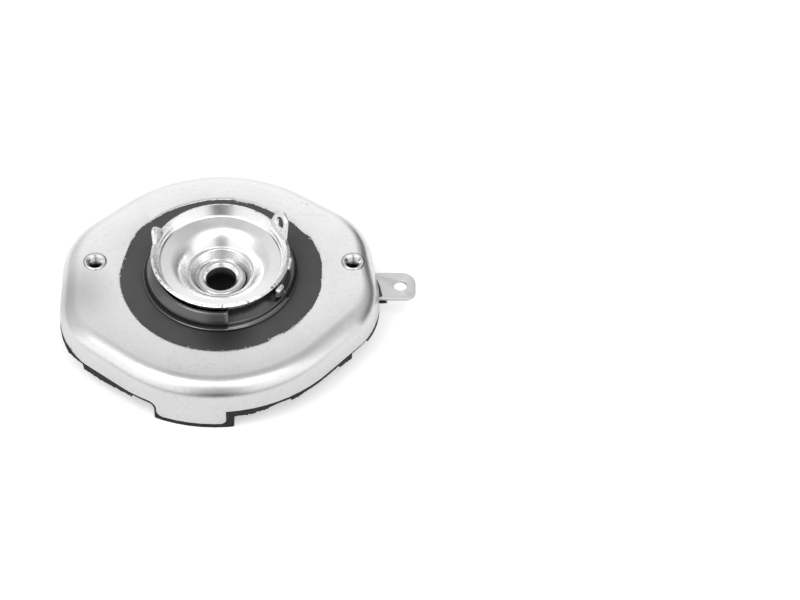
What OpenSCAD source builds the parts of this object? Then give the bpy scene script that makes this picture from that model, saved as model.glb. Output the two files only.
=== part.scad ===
// Strut mount for a car's front suspension: a pressed steel dish with bonded rubber,
// a central sleeve for the piston rod, a rebound cup and two weld nuts.
// The origin is on the rod's axis, where the rod nut seats. +Z points up to the car body.

/* [Dish] */
// Thickness of the dish's sheet steel
dish_sheet = 2; // [1.5:0.1:3]
// Height of the dish's flat top above the rod nut's seat
top_z = 2.3; // [1.5:0.1:4]
// Outer radius of the bend between the flat top and the skirt
bend_r = 9.5; // [8:0.1:11]
// Height of the skirt, from the flat top to its lower edge
skirt_h = 15.8; // [14.5:0.1:19]
// Radius of the dish's round middle
dish_r = 70.5; // [68:0.1:75]
// Sideways place of the dish's centre
dish_x = -1.6; // [-3:0.1:3]
// Fore-and-aft place of the dish's centre
dish_y = -2.2; // [-4:0.1:4]
// Radius of the dish's four side corners
corner_r = 37; // [35:0.5:40]
// Distance of the left corners' centres from the rod's axis
left_corner_x = 39.3; // [37:0.1:42]
// Distance of the left back corner's centre behind the axis
left_back_y = 9.1; // [6:0.1:12]
// Distance of the left front corner's centre in front of the axis
left_front_y = 15; // [12:0.1:18]
// Distance of the right back corner's centre from the rod's axis
right_back_x = 35.2; // [33:0.1:38]
// Distance of the right back corner's centre behind the axis
right_back_y = 13.2; // [10:0.1:16]
// Distance of the right front corner's centre from the rod's axis
right_front_x = 38.5; // [36:0.1:41]
// Distance of the right front corner's centre in front of the axis
right_front_y = 7.5; // [5:0.1:10]

/* [Window] */
// Inner radius of the collar turned down round the dish's window
collar_r = 46.7; // [44:0.1:48]
// Height of that collar, from the flat top
collar_h = 9; // [7:0.5:11]
// Outer radius of the collar's bend
collar_bend_r = 2.5; // [2.2:0.1:3]

/* [Tongue] */
// Left edge of the locating tongue on the skirt's front
tongue_left_x = -29; // [-32:0.5:-24]
// Right edge of the tongue
tongue_right_x = 4; // [0:0.5:8]
// Height of the tongue below the skirt's edge
tongue_h = 8.7; // [6:0.1:10]
// Radius of the tongue's lower corners
tongue_corner_r = 3; // [1:0.5:4]
// Radius of the run-out from the skirt to the tongue's left edge
tongue_runout_r = 4; // [2:0.5:4]

/* [Rubber] */
// Thickness of the rubber lining inside the dish
lining_t = 3; // [2:0.1:4]
// Depth of the rubber's top face below the dish's flat top
rubber_drop = 0.3; // [0.2:0.05:0.6]
// Depth of the rubber lip under the skirt's edge
lip_h = 1.2; // [0.8:0.1:2.5]
// Step of the rubber lip behind the skirt's outer face
lip_inset = 0.3; // [0.1:0.1:0.8]
// Depth of the rubber below the tongue's steel edge
foot_h = 2.9; // [2:0.1:4]
// Width of the rubber beside the tongue's left edge
foot_left_w = 1; // [0.5:0.1:2]
// Width of the rubber beside the tongue's right edge
foot_right_w = 3.6; // [2:0.1:5]
// Radius of the rubber hub that pilots the thrust bearing
hub_r = 44; // [42:0.5:45]
// Inner radius of the hub's foot ring
hub_foot_r = 30; // [28:0.5:33]
// Radius of the rubber round the sleeve's lower end
hub_core_r = 15; // [13:0.5:17]
// Height of the hollow under the hub
hub_hollow_h = 8; // [6:0.5:9]

/* [Sleeve] */
// Radius of the rod's bore
bore_r = 7.1; // [6:0.05:7.5]
// Outer radius of the sleeve
sleeve_r = 9.5; // [9:0.1:10]
// Radius of the flange peened over the cup's floor
flange_r = 11.7; // [11:0.1:12]
// Thickness of that flange
flange_t = 1.5; // [1:0.1:2]
// Width of the chamfer in the bore's mouth
mouth_chamfer = 1; // [0.5:0.1:1.2]
// Length of the sleeve
sleeve_h = 19; // [17:0.5:20]

/* [Inner dish] */
// Sheet thickness of the dish bonded inside the rubber
inner_sheet = 2.5; // [2:0.1:3]
// Radius of that dish
inner_r = 36; // [33:0.5:38]
// Radius of its flat middle
inner_flat_r = 15.5; // [15:0.1:17]
// Fall of its cone from the flat to the edge
inner_fall = 10; // [7:0.5:11]

/* [Cup] */
// Sheet thickness of the rebound cup
cup_sheet = 1.6; // [1.2:0.1:1.8]
// Radius of the rim's inner edge
rim_r = 31.6; // [31:0.1:32.2]
// Height of the rim above the rod nut's seat
rim_z = 16; // [15:0.1:17]
// Inner radius of the upturned rim
rim_inner_r = 29.3; // [28:0.1:30]
// Height of the upturned rim
rim_h = 4.8; // [4:0.1:5.2]
// Inner radius of the cup's shallow shoulder
shoulder_r = 20.5; // [20:0.1:22]
// Fall of the shoulder
shoulder_fall = 2.2; // [1.5:0.1:2.6]
// Radius of the step half way down the cup
step_r = 15.8; // [15.3:0.1:16.5]
// Height of that step above the cup's floor
step_h = 6.2; // [5.5:0.1:7]
// Radius of the cup's floor
floor_r = 12.1; // [11.9:0.1:12.6]
// Radius of the cup's bends
cup_bend_r = 1.6; // [1:0.1:2]

/* [Ears] */
// Step of the ears and the tang beyond the rim's inner edge
ear_step = 0.6; // [0.4:0.1:0.8]
// Bearing of the ear with the hole, from +X
hole_ear_az = 30; // [26:1:36]
// Width of that ear at its root
hole_ear_w = 15; // [13:0.5:16]
// Height of that ear above the rim
hole_ear_h = 12.5; // [11.5:0.5:13.5]
// Radius of that ear's round head
hole_ear_head_r = 4.7; // [4:0.1:5.5]
// Radius of the ear's hole
hole_ear_bore_r = 2.9; // [2:0.1:3.2]
// Height of the hole's centre above the rim
hole_ear_bore_z = 4.8; // [4.3:0.1:5.6]
// Bearing of the plain ear
plain_ear_az = 160; // [154:1:166]
// Width of the plain ear
plain_ear_w = 8; // [6:0.5:10]
// Height of the plain ear above the rim
plain_ear_h = 5.5; // [4.5:0.5:6.5]
// Radius of the plain ear's round head
plain_ear_head_r = 2.9; // [2:0.1:3.5]
// Outward lean of the plain ear
plain_ear_lean = 12; // [5:1:20]
// Bearing of the small nib on the rim
nib_az = -8; // [-14:1:-2]
// Width of the nib
nib_w = 7; // [5:0.5:8]
// Reach of the nib beyond the rim's inner edge
nib_reach = 2.2; // [1.8:0.1:2.6]
// Bearing of the tang that hangs from the rim into the stop ring's notch
tang_az = -34; // [-38:1:-34]
// Width of the tang
tang_w = 5; // [3:0.5:5.5]
// Drop of the tang below the rim
tang_drop = 8; // [7:0.1:8.4]

/* [Stop ring] */
// Outer radius of the stop ring's lip
stop_r = 36.9; // [36:0.1:38]
// Thickness of the lip
stop_lip_t = 0.8; // [0.6:0.1:1.2]
// Gap between the lip and the rubber
stop_lip_gap = 0.8; // [0.5:0.1:1.2]
// Radius of the stop ring's wall
stop_wall_r = 35.3; // [35:0.1:35.8]
// Height of the wall above the rubber
stop_wall_h = 4.4; // [4:0.1:5]
// Inner radius of the stop ring
stop_inner_r = 23.5; // [23:0.1:25]
// Height of the raised pad above the wall
pad_h = 4; // [3:0.1:4.4]
// Bearing of the pad's end at the front
notch_from_az = -83; // [-95:1:-75]
// Bearing of the pad's end at the right
notch_to_az = -28; // [-35:1:-20]
// Gap between the stop ring and the cup
stop_gap = 0.3; // [0.2:0.05:0.5]

/* [Weld nuts] */
// Distance of the left nut from the rod's axis
left_nut_x = 60.3; // [58:0.1:61]
// Distance of the right nut from the rod's axis
right_nut_x = 62.9; // [61:0.1:63.5]
// Distance of both nuts behind the rod's axis
nut_y = 7.6; // [5:0.1:10]
// Minor radius of the nuts' thread
nut_bore_r = 3.4; // [2.6:0.05:3.6]
// Radius of the nut's collar in the dish
nut_collar_r = 5.3; // [5:0.1:5.6]
// Height of the collar above the dish's flat top
nut_proud = 0.2; // [0.1:0.1:0.5]
// Width of the chamfer in the nut's mouth
nut_chamfer = 0.9; // [0.5:0.1:1.2]
// Radius of the nut's flange under the dish
nut_flange_r = 7; // [6.2:0.1:7.5]
// Height of the nut's body under the dish
nut_body_h = 7; // [6:0.1:7.5]

/* [Side lug] */
// Thickness of the side lug's strip
lug_t = 1.6; // [1.2:0.1:2]
// Width of the strip
lug_w = 16.8; // [14:0.1:18]
// Place of the strip's centre line behind the rod's axis
lug_y = 1.9; // [0:0.1:4]
// Distance of the strip's end from the rod's axis
lug_end_x = 92.8; // [90:0.1:96]
// Depth of the strip's upper face below the dish's flat top
lug_depth = 11; // [10.8:0.1:12]
// Distance of the lug's hole from the strip's end
lug_hole_back = 7.4; // [6.5:0.1:9]
// Radius of the lug's hole
lug_hole_r = 3.1; // [2.5:0.05:3.5]
// Radius of the lug's back corner
lug_back_corner_r = 7; // [4:0.5:8]
// Radius of the lug's front corner
lug_front_corner_r = 4.5; // [3:0.5:8]
// Length of the strip held in the rubber inside the skirt
lug_root = 4; // [3:0.5:4.5]
// Gap of the skirt's slot above and below the strip
slot_gap = 0.5; // [0.3:0.1:0.8]
// Rubber round the strip's root
lug_boss_t = 1.5; // [1:0.1:1.6]

/* [Hidden] */
$fn = 96;
// Sides of the dish's round outline and of a whole turn of its bend
outline_fn = 72;
bend_fn = 32;

// Small overlap that lets cutters pass right through
past = 1;

// Heights that follow from the driving sizes
skirt_z = top_z - skirt_h;
tongue_z = skirt_z - tongue_h;
foot_z = tongue_z - foot_h;
under_z = top_z - dish_sheet;
rubber_z = top_z - rubber_drop;
collar_z = top_z - collar_h;
cup_floor_z = -flange_t;
inner_top_z = cup_floor_z - cup_sheet;
lug_z = top_z - lug_depth;
wall_z = rubber_z + stop_wall_h;

// Window edge at the flat top, where the collar's bend starts
window_r = collar_r + collar_bend_r;

// The discs that the dish's outline wraps: [x, y, radius]
discs = [
    [dish_x, dish_y, dish_r],
    [right_front_x, -right_front_y, corner_r],
    [right_back_x, right_back_y, corner_r],
    [-left_corner_x, left_back_y, corner_r],
    [-left_corner_x, -left_front_y, corner_r]];

// Half-width that clears the whole dish
reach = left_corner_x + corner_r + dish_r;

// Inner end of the side lug's strip
lug_inner_x = right_back_x + corner_r - lug_root;

// Section of a disc with a rounded upper edge
module rounded_section(r, edge_r, low_z, high_z) {
    translate([0, low_z])
        square([r - edge_r, high_z - low_z]);
    translate([0, low_z])
        square([r, high_z - edge_r - low_z]);
    translate([r - edge_r, high_z - edge_r])
        intersection() {
            circle(edge_r, $fn = bend_fn);
            square(edge_r);
        }
}

// Solid inside the dish's outer face, moved inwards by inset
module dome(inset, low_z) {
    hull()
        for (disc = discs)
            translate([disc.x, disc.y])
                rotate_extrude($fn = outline_fn)
                    rounded_section(disc.z - inset, bend_r - inset, low_z, top_z - inset);
}

// Straight-sided solid inside the dish's outline, moved inwards by inset
module slab(inset, low_z, high_z) {
    hull()
        for (disc = discs)
            translate([disc.x, disc.y, low_z])
                cylinder(r = disc.z - inset, h = high_z - low_z, $fn = outline_fn);
}

// Front view of a tongue that hangs from edge_z, with a run-out on its left
module tongue_outline(left_x, right_x, low_z, edge_z, tip_r, runout_r) {
    translate([left_x + tip_r, low_z])
        square([right_x - left_x - 2 * tip_r, edge_z - low_z]);
    translate([left_x, low_z + tip_r])
        square([right_x - left_x, edge_z - low_z - tip_r]);
    for (x = [left_x + tip_r, right_x - tip_r])
        translate([x, low_z + tip_r]) circle(tip_r);
    translate([left_x - runout_r, edge_z - runout_r])
        difference() {
            square(runout_r);
            circle(runout_r);
        }
}

// Carries a front view through the front half of the dish
module through_front() {
    translate([0, dish_y, 0])
        rotate([90, 0, 0])
            linear_extrude(reach)
                children();
}

// Everything below edge_z, apart from the tongue outline given as a child
module below_edge(edge_z) {
    low_z = foot_z - past;
    through_front()
        difference() {
            translate([-reach, low_z])
                square([2 * reach, edge_z - low_z]);
            children();
        }
    translate([-reach, dish_y - past, low_z])
        cube([2 * reach, reach, edge_z - low_z]);
}

module steel_tongue_outline() {
    tongue_outline(tongue_left_x, tongue_right_x, tongue_z, skirt_z, tongue_corner_r, tongue_runout_r);
}

module rubber_tongue_outline() {
    tongue_outline(tongue_left_x - foot_left_w, tongue_right_x + foot_right_w, foot_z, skirt_z - lip_h,
                   foot_left_w, tongue_runout_r);
}

// Section of the collar turned down round the window
module collar_profile() {
    translate([window_r, top_z - collar_bend_r])
        intersection() {
            difference() {
                circle(collar_bend_r);
                circle(collar_bend_r - dish_sheet);
            }
            translate([-collar_bend_r, 0]) square(collar_bend_r);
        }
    translate([collar_r, collar_z])
        square([dish_sheet, collar_h - collar_bend_r]);
    translate([window_r, under_z])
        square([past, dish_sheet]);
}

module at_nut(x) {
    translate([x, nut_y, 0]) children();
}

// A square's corner outside its rounding
module corner_cut(r) {
    difference() {
        square(r);
        translate([r, r]) circle(r);
    }
}

// A block round the lug's strip, from its inner end outwards
module lug_block(gap, length) {
    translate([lug_inner_x - gap, lug_y - lug_w / 2 - gap, lug_z - lug_t - gap])
        cube([length + 2 * gap, lug_w + 2 * gap, lug_t + 2 * gap]);
}

// Pressed steel dish with skirt, tongue, window collar, nut holes and lug slot
module housing() {
    color("gainsboro") {
        difference() {
            dome(0, tongue_z);
            dome(dish_sheet, tongue_z - past);
            below_edge(skirt_z) steel_tongue_outline();
            translate([0, 0, under_z - past])
                cylinder(r = window_r, h = dish_sheet + 2 * past);
            for (x = [-left_nut_x, right_nut_x])
                at_nut(x)
                    translate([0, 0, top_z - bend_r])
                        cylinder(r = nut_collar_r, h = bend_r + past);
            lug_block(slot_gap, lug_end_x - lug_inner_x);
        }
        rotate_extrude() collar_profile();
    }
}

// Room that the rubber leaves for the cup's funnel, above the inner dish
module cup_pocket() {
    rotate_extrude()
        polygon([[0, inner_top_z], [inner_flat_r - lip_inset, inner_top_z],
                 [floor_r + step_h, rubber_z], [floor_r + step_h, rubber_z + past], [0, rubber_z + past]]);
}

// The rubber's central block, from the window down to the foot ring
module rubber_hub() {
    cover_r = collar_r + dish_sheet + lining_t / 2;
    cover_z = collar_z - lining_t / 2;
    rotate_extrude()
        polygon([[sleeve_r, foot_z + hub_hollow_h], [hub_core_r, foot_z + hub_hollow_h],
                 [hub_core_r + lining_t / 2, foot_z + hub_hollow_h + lining_t],
                 [hub_foot_r - lining_t, foot_z + hub_hollow_h + lining_t],
                 [hub_foot_r, foot_z], [hub_r, foot_z], [hub_r, cover_z - lining_t], [cover_r, cover_z],
                 [cover_r, under_z], [window_r, under_z], [window_r, rubber_z], [sleeve_r, rubber_z]]);
}

// Rubber inside the dish's wall and under its edge, with the block round the lug's root
module rubber_lining() {
    difference() {
        union() {
            dome(dish_sheet, foot_z);
            slab(lip_inset, foot_z, skirt_z);
        }
        dome(dish_sheet + lining_t, foot_z - past);
        below_edge(skirt_z - lip_h) rubber_tongue_outline();
        difference() {
            through_front() steel_tongue_outline();
            dome(dish_sheet, foot_z - past);
        }
        cylinder(r = collar_r + dish_sheet, h = top_z);
    }
    intersection() {
        dome(dish_sheet, skirt_z);
        lug_block(lug_boss_t, lug_root);
    }
}

// Rubber bonded in the dish: top ring, hub, lining, lip and foot
module rubber_body() {
    color("dimgray")
        difference() {
            union() {
                rubber_hub();
                rubber_lining();
            }
            rotate_extrude() collar_profile();
            rotate_extrude() inner_dish_profile();
            cup_pocket();
            for (x = [-left_nut_x, right_nut_x])
                at_nut(x) {
                    nut_flange();
                    nut_core();
                }
            lug_block(0, lug_end_x - lug_inner_x);
        }
}

// Section of the dish inside the rubber
module inner_dish_profile() {
    edge_z = inner_top_z - inner_fall;
    polygon([[sleeve_r, inner_top_z], [inner_flat_r, inner_top_z], [inner_r, edge_z],
             [inner_r, edge_z - inner_sheet], [inner_flat_r, inner_top_z - inner_sheet],
             [sleeve_r, inner_top_z - inner_sheet]]);
}

// Conical steel dish on the sleeve, bonded inside the rubber
module inner_dish() {
    color("slategray")
        rotate_extrude() inner_dish_profile();
}

// Steel sleeve with the rod's bore, its top peened over the cup
module center_sleeve() {
    color("lightgray")
        rotate_extrude()
            polygon([[bore_r, -sleeve_h], [sleeve_r, -sleeve_h], [sleeve_r, -flange_t],
                     [flange_r - flange_t / 2, -flange_t], [flange_r, -flange_t / 2],
                     [flange_r, -flange_t / 3], [flange_r - flange_t / 3, 0],
                     [bore_r + mouth_chamfer, 0], [bore_r, -mouth_chamfer]]);
}

// The cup's upper face from the sleeve out to the rim, as [radius, height]
rim_low_z = rim_z - rim_h;
shoulder_z = rim_low_z - shoulder_fall;
cup_face = [
    [sleeve_r + stop_gap, cup_floor_z],
    [floor_r, cup_floor_z],
    [step_r - cup_bend_r / 2, cup_floor_z + step_h - cup_bend_r / 4],
    [step_r + cup_bend_r / 2, cup_floor_z + step_h],
    [shoulder_r, shoulder_z],
    [rim_inner_r, rim_low_z],
    [rim_r, rim_z]];

function unit(v) = v / norm(v);
function left_of(v) = [-v.y, v.x];
function ray(angle) = [cos(angle), sin(angle)];

// Point i of a line moved t to its right, with mitred corners
function moved(line, i, t) =
    let (into = i == 0 ? unit(line[1] - line[0]) : unit(line[i] - line[i - 1]),
         away = i == len(line) - 1 ? into : unit(line[i + 1] - line[i]),
         mid = unit(into + away))
    line[i] - left_of(mid) * t / (mid * into);

// A line with each inner corner rounded to radius r by a short arc
function rounded(line, r, steps = 5) = [
    line[0],
    for (i = [1 : len(line) - 2])
        let (into = unit(line[i] - line[i - 1]),
             away = unit(line[i + 1] - line[i]),
             bend = acos(min(1, into * away)),
             side = left_of(into) * away > 0 ? 1 : -1,
             start = line[i] - into * r * tan(bend / 2),
             hub = start + left_of(into) * r * side,
             first = atan2(start.y - hub.y, start.x - hub.x))
        for (k = [0 : steps])
            hub + r * ray(first + side * bend * k / steps),
    line[len(line) - 1]];

// A sheet section t thick below a line
module sheet_profile(line, t) {
    polygon(concat(line, [for (i = [len(line) - 1 : -1 : 0]) moved(line, i, t)]));
}

module cup_profile() {
    sheet_profile(rounded(cup_face, cup_bend_r), cup_sheet);
}

// An ear stands on the rim: its outline has x along the rim and y up
module on_rim(az, lean) {
    rotate(az)
        translate([rim_r + ear_step, 0, rim_z - cup_sheet])
            rotate([0, lean, 0])
                rotate([90, 0, 90])
                    linear_extrude(cup_sheet)
                        children();
}

// Outline of an ear with a round head of radius head_r
module ear_outline(w, h, head_r) {
    head_y = h + cup_sheet - head_r;
    root_y = cup_sheet - ear_step;
    translate([0, head_y]) circle(head_r);
    polygon([[-w / 2, 0], [w / 2, 0], [w / 2, root_y],
             [head_r, head_y], [-head_r, head_y], [-w / 2, root_y]]);
}

// Pressed cup under the rod nut, with two ears, a nib and a tang on its rim
module rebound_cup() {
    color("whitesmoke") {
        difference() {
            union() {
                rotate_extrude() cup_profile();
                on_rim(hole_ear_az, 0) ear_outline(hole_ear_w, hole_ear_h, hole_ear_head_r);
                on_rim(plain_ear_az, plain_ear_lean) ear_outline(plain_ear_w, plain_ear_h, plain_ear_head_r);
                rotate(nib_az)
                    translate([rim_r - cup_sheet, -nib_w / 2, rim_z - cup_sheet - ear_step])
                        cube([cup_sheet + nib_reach, nib_w, cup_sheet]);
                rotate(tang_az)
                    translate([rim_r + ear_step, -tang_w / 2, rim_z - tang_drop])
                        cube([cup_sheet, tang_w, tang_drop - cup_sheet / 2]);
            }
            rotate(hole_ear_az)
                translate([rim_r - cup_sheet, 0, rim_z + hole_ear_bore_z])
                    rotate([0, 90, 0])
                        cylinder(r = hole_ear_bore_r, h = 4 * cup_sheet);
        }
    }
}

// Room that the stop ring leaves for the cup above it
module above_ring_profile() {
    line = rounded(cup_face, cup_bend_r);
    count = len(line);
    high_z = rim_z + past;
    polygon(concat([for (i = [0 : count - 1]) moved(line, i, cup_sheet + stop_gap)],
                   [[rim_r + 2 * past, high_z], [0, high_z], [0, cup_floor_z - cup_sheet]]));
}

// Section of the stop ring's low part: base, lip and wall
module stop_base_profile() {
    lip_z = rubber_z + stop_lip_gap;
    polygon([[stop_inner_r, rubber_z], [stop_wall_r, rubber_z], [stop_wall_r, lip_z], [stop_r, lip_z],
             [stop_r, lip_z + stop_lip_t], [stop_wall_r + stop_lip_t, lip_z + 1.5 * stop_lip_t],
             [stop_wall_r, wall_z], [stop_inner_r, wall_z]]);
}

// Section of its raised pad, from half way up the wall
module stop_pad_profile() {
    pad_z = wall_z + pad_h;
    low_z = rubber_z + stop_wall_h / 2;
    polygon([[stop_inner_r + stop_gap, low_z], [stop_wall_r - stop_lip_t, low_z],
             [stop_wall_r - stop_lip_t, wall_z], [stop_wall_r - 2 * stop_lip_t, pad_z],
             [stop_inner_r + stop_gap, pad_z]]);
}

// Black ring between the rubber and the cup, with a raised pad round most of it
module stop_ring() {
    color("black") {
        rotate_extrude()
            difference() {
                stop_base_profile();
                above_ring_profile();
            }
        rotate(notch_to_az)
            rotate_extrude(angle = 360 - (notch_to_az - notch_from_az))
                difference() {
                    stop_pad_profile();
                    above_ring_profile();
                }
    }
}

module nut_flange() {
    translate([0, 0, under_z - nut_body_h])
        cylinder(r = nut_flange_r, h = nut_body_h);
}

module nut_core() {
    translate([0, 0, under_z - nut_body_h])
        cylinder(r = nut_collar_r, h = nut_body_h + dish_sheet + nut_proud);
}

// Weld nut: a collar in the dish's hole, and a flange kept inside the dish's bend
module weld_nut(x) {
    mouth_z = top_z + nut_proud;
    color("silver")
        difference() {
            union() {
                at_nut(x) nut_core();
                intersection() {
                    at_nut(x) nut_flange();
                    dome(dish_sheet, skirt_z);
                }
            }
            at_nut(x) {
                translate([0, 0, under_z - nut_body_h - past])
                    cylinder(r = nut_bore_r, h = mouth_z - under_z + nut_body_h + 2 * past);
                translate([0, 0, mouth_z - nut_chamfer])
                    cylinder(r1 = nut_bore_r, r2 = nut_bore_r + nut_chamfer, h = nut_chamfer);
            }
        }
}

module left_weld_nut() {
    weld_nut(-left_nut_x);
}

module right_weld_nut() {
    weld_nut(right_nut_x);
}

// Steel strip through the skirt's slot, with a round hole and two rounded corners
module side_lug() {
    color("lightgray")
        difference() {
            lug_block(0, lug_end_x - lug_inner_x);
            translate([0, 0, lug_z - lug_t - past])
                linear_extrude(lug_t + 2 * past) {
                    translate([lug_end_x - lug_hole_back, lug_y]) circle(lug_hole_r);
                    translate([lug_end_x, lug_y + lug_w / 2]) rotate(180) corner_cut(lug_back_corner_r);
                    translate([lug_end_x, lug_y - lug_w / 2]) rotate(90) corner_cut(lug_front_corner_r);
                }
        }
}

housing();
rubber_body();
inner_dish();
center_sleeve();
rebound_cup();
stop_ring();
left_weld_nut();
right_weld_nut();
side_lug();
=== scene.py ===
"""Strut mount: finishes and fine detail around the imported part, with a pale floor and soft light."""
import math
import random

import bmesh
import bpy
from mathutils import Matrix, Vector


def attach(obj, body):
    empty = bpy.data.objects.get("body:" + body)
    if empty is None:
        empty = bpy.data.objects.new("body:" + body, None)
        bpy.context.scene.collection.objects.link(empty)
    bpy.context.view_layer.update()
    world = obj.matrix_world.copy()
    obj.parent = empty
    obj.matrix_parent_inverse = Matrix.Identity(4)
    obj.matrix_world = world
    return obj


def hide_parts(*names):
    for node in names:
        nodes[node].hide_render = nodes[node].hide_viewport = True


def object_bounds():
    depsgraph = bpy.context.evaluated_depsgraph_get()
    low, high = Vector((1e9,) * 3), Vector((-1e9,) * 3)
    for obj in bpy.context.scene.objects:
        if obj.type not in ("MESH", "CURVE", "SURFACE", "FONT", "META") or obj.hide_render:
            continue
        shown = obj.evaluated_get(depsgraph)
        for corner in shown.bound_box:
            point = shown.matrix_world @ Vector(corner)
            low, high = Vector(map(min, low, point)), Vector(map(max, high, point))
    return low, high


MM = 0.001

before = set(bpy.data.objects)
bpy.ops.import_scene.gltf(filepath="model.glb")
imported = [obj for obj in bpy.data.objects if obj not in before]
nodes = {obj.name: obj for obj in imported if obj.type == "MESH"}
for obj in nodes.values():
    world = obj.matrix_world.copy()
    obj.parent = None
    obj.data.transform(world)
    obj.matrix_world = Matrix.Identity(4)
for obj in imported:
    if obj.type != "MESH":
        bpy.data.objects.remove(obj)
cad_low, cad_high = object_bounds()
scene = bpy.context.scene

# Camera that fits the photograph: its angle above the floor in degrees, its place, its lens and how many
# metres it sees
CAMERA_ELEVATION = 48.8
CAMERA_PLACE = Vector((85.3, -1195.2, 1348.3)) * MM
LENS_MM = 170.1
SENSOR_MM = 36
CAMERA_REACH = 20

# Floor, in metres: its half width, a hair of air under the part, and where it turns grey towards the front
FLOOR_HALF = 3.0
FLOOR_GAP = 0.00005
FLOOR_FADE = (0.12, 0.4)
# Its grey, its grey at the front as metal mirrors it, and its glow to the camera and to metal
FLOOR_GREY = 0.88
FLOOR_FRONT_GREY = 0.4
FLOOR_LIFT = 0.5
FLOOR_MIRROR_LIFT = 0.25

# Soft lights: name, place and size in metres, and watts
SOFTBOXES = (
    ("left_softbox", (-0.58, -0.36, 1.25), 0.6, 4.2),
    ("right_softbox", (0.36, -0.55, 1.28), 0.45, 2.2),
)
# Grey of the sky's light on the part
SKY_GREY = 0.62

# Dish, in mm: the discs that its outline wraps, as (x, y, radius), and its heights
DISCS = ((-1.6, -2.2, 70.5), (38.5, -7.5, 37), (35.2, 13.2, 37), (-39.3, 9.1, 37), (-39.3, -15, 37))
TOP_Z = 2.3
SKIRT_Z = -13.5
# Painted shade: a dark patch on its left, and the stretch along y over which it darkens towards the front
DISH_SHADE = (-69, -12, 2)
DISH_SHADE_R = 25
SHADED_FRONT_Y = (-85, 60)

# Window in the dish, in mm: its edge, its bend and the height of the rubber in it
WINDOW_R = 49.2
COLLAR_BEND_R = 2.5
RUBBER_Z = 2.0
WINDOW_STEPS = 900
# Radii of the film of rubber on the bend and of the bare steel that shows where the film is short
FILM_INNER_R = 47.3
FILM_EDGE_R = 47.8
BARE_R = 48.7
# How far the film spreads past its edge, how much that changes from step to step, how ragged it is, and the
# share of the steps that have a nick or a tag, with its reach
FILM_SPREAD = (0.05, 0.6)
FILM_CHANGE = 0.09
RAGGED = 0.12
NICK_SHARE = 0.1
NICK = (-0.7, 0.4)
# Flecks of steel along the edge: how many, and the radii that they lie between
CHIPS = 120
CHIP_R = (47.7, 48.8)
# Places where the edge of the window's rubber wanders: bearing and half width in degrees, and how far out
EDGE_WANDERS = (
    (57, 27, -2.0),
    (35, 8, -0.9),
    (81, 8, -0.8),
    (168, 16, -0.9),
    (144, 8, 0.8),
    (340, 14, 0.7),
    (12, 12, 0.5),
    (304, 7, -1.0),
    (240, 20, -0.3),
)

# Rubber lip under the skirt, in mm
LIP_H = 1.2
LIP_INSET = 0.3
LIP_T = 2.2
LIP_STEPS = 720
# Stretches of moulding flash on the lip: bearings from and to, in degrees, both drops and both spreads
LIP_FLASH = (
    (-174, -158, 0.2, 0.5, 0.3, 0.75),
    (-158, -154, 0.5, 0.6, 0.75, 1.1),
    (-154, -147, 0.4, 0.1, 0.9, 0.3),
    (-147, -137, 3.5, 3.8, 0.2, 0.1),
    (-137, -131, 3.5, 2.5, 0.1, 0.0),
    (-131, -124, 2.4, 2.0, 0.0, 0.0),
    (-124, -113, 0.3, 0.9, 0.0, 0.0),
    (-84, -76, 2.9, 3.3, 0.1, 0.0),
    (-76, -71, 2.5, 2.3, 0.0, 0.0),
    (-71, -66, 1.7, 0.6, 0.0, 0.0),
    (-66, -61.5, 0.6, 0.9, 0.0, 0.0),
    (-61.5, -56, 2.4, 2.0, 0.0, 0.0),
    (-56, -37, 1.4, 0.9, 0.0, 0.0),
    (-37, -30, 2.2, 3.1, 0.1, 0.2),
    (-21, -15, 1.3, 0.7, 0.3, 0.5),
    (-15, -7, 0.3, 0.1, 0.6, 0.3),
)

# Scratches on the dish's top, in mm, as two ends and a width
SCRATCHES = (
    ((-10.8, -56.8), (-7.9, -57.6), 0.3),
    ((-6.3, -57.9), (-4.2, -58.3), 0.25),
    ((-0.6, -58.4), (0.3, -58.4), 0.3),
    ((7.5, -58.0), (10.7, -57.5), 0.3),
    ((17.7, -55.8), (21.8, -55.2), 0.25),
    ((25.1, -53.0), (27.8, -51.9), 0.35),
    ((55.2, -27.3), (60.0, -20.6), 0.22),
    ((36.9, 46.5), (38.3, 45.6), 0.4),
    ((39.0, 45.5), (41.3, 44.2), 0.35),
)

# Painted shadow on the rubber in front of the ring, in mm
RING_SHADOW = (3, -38.5, 2)
RING_SHADOW_R = 19

# Sleeve, in mm
BORE_R = 7.1
SLEEVE_R = 9.5
SLEEVE_H = 19
FLANGE_R = 11.7
FLANGE_T = 1.5
FLANGE_FOOT_R = 11.4
FLANGE_TOP_Z = -0.7
FLANGE_ROUND = 0.35
# The round head on the flange, as an ellipse and its foot, and the slope at the mouth of the bore
HEAD = (9.75, -0.6)
HEAD_HALF = (1.3, 0.62)
HEAD_FOOT = (11.15, -0.85)
MOUTH_W = 0.35
MOUTH_Z = (-1.0, -1.5)

# Weld nuts, in mm
NUT_X = (-60.3, 62.9)
NUT_Y = 7.6
NUT_BORE_R = 3.4
NUT_COLLAR_R = 5.3
NUT_TOP_Z = 2.5
NUT_LOW_Z = -6.7
THREAD_TOP_Z = 1.3
THREAD_PITCH = 1.25
THREAD_DEPTH = 0.45
THREAD_HALF = 0.525
THREAD_STEPS = 28

# Side lug, in mm
LUG_TOP_Z = -8.7
LUG_T = 1.6
# Outlines of the rubber at its root, as (x, y), and how thick they are
LUG_WEDGE = ((73.2, 6.0), (74.3, 5.7), (75.6, 2.0), (77.0, -4.9), (74.6, -5.6))
LUG_WEDGE_T = 0.3
LUG_SCRAP = ((74.5, -7.0), (76.4, -7.3), (79.2, -7.0), (78.0, -5.6), (74.5, -5.2))
LUG_SCRAP_T = 0.9

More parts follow.
